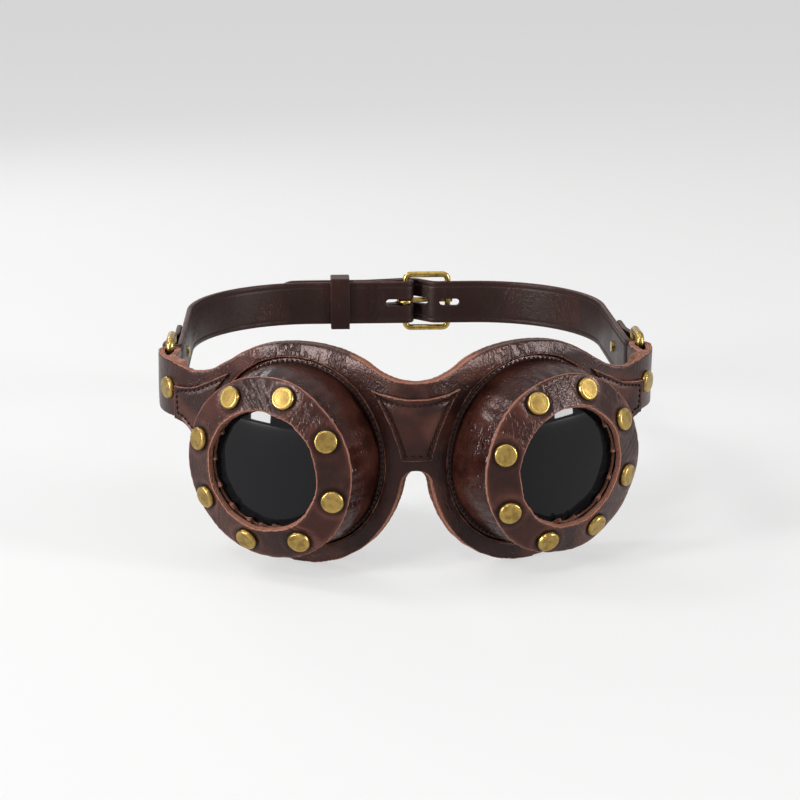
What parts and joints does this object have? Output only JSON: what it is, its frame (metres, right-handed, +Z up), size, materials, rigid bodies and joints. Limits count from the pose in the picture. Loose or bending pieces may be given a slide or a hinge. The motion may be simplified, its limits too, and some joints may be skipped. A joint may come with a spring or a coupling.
{
  "type": "goggles",
  "caption": "Leather goggles with coned riveted eye cups, recessed dark lenses, sewn bridge and temple patches, brass side rings and a buckled back strap.",
  "frame": {"origin": "on the vertical axis of the head, level with the centres of the eye cups", "axes": "+Z up along the head's axis; the lenses face -Y; +X is on the right of a person who looks at the lenses"},
  "size_m": [0.18, 0.2099, 0.0795],
  "materials": {
    "mask_leather": "worn dark chocolate and burgundy leather, half glossy, with light raw edges",
    "lining_leather": "matt brown leather",
    "strap_leather": "very dark brown strap leather",
    "aged_brass": "antique brass, worn bright on the edges",
    "dark_glass": "glossy, nearly black"
  },
  "bodies": {
    "mask": {"bridge_patch": "mask_leather", "left_cup_wall": "mask_leather", "left_front_ring": "mask_leather", "left_lens": "dark_glass", "left_lens_retainer": "lining_leather", "left_rivet_caps": "aged_brass", "left_rivet_posts": "aged_brass", "left_temple_patch": "mask_leather", "mask_front": "mask_leather", "mask_lining": "lining_leather", "right_cup_wall": "mask_leather", "right_front_ring": "mask_leather", "right_lens": "dark_glass", "right_lens_retainer": "lining_leather", "right_rivet_caps": "aged_brass", "right_rivet_posts": "aged_brass", "right_temple_patch": "mask_leather", "tab_rivet_caps": "aged_brass", "tab_rivet_posts": "aged_brass"},
    "left_ring": {"left_side_ring": "aged_brass"},
    "right_ring": {"right_side_ring": "aged_brass"},
    "back_strap": {"left_strap": "strap_leather", "right_strap": "strap_leather", "buckle_frame": "aged_brass", "strap_rivet_caps": "aged_brass", "strap_rivet_posts": "aged_brass"},
    "tongue": {"buckle_tongue": "aged_brass"},
    "keeper": {"strap_keeper": "strap_leather"}
  },
  "joints": [
    {"name": "left_ring_swing", "type": "hinge", "parent": "mask", "child": "left_ring", "pos_m": [-0.0858, -0.02558, 0.016], "axis": [0, 0, 1], "range_deg": [-35, 35]},
    {"name": "strap_swing", "type": "hinge", "parent": "left_ring", "child": "back_strap", "pos_m": [-0.0858, -0.01258, 0.016], "axis": [0, 0, 1], "range_deg": [-35, 35]},
    {"name": "right_ring_swing", "type": "hinge", "parent": "mask", "child": "right_ring", "pos_m": [0.0858, -0.02558, 0.016], "axis": [0, 0, 1], "range_deg": [-35, 35]},
    {"name": "tongue_lift", "type": "hinge", "parent": "back_strap", "child": "tongue", "pos_m": [0.006, 0.09805, 0.016], "axis": [0, 0, 1], "range_deg": [0, 14]},
    {"name": "keeper_slide", "type": "slide", "parent": "back_strap", "child": "keeper", "axis": [1, 0, 0], "range_m": [-0.007, 0.007]}
  ],
  "couplings": [
    {"joint": "strap_swing", "follows": "left_ring_swing", "ratio": -1},
    {"joint": "right_ring_swing", "follows": "left_ring_swing", "ratio": 1}
  ]
}
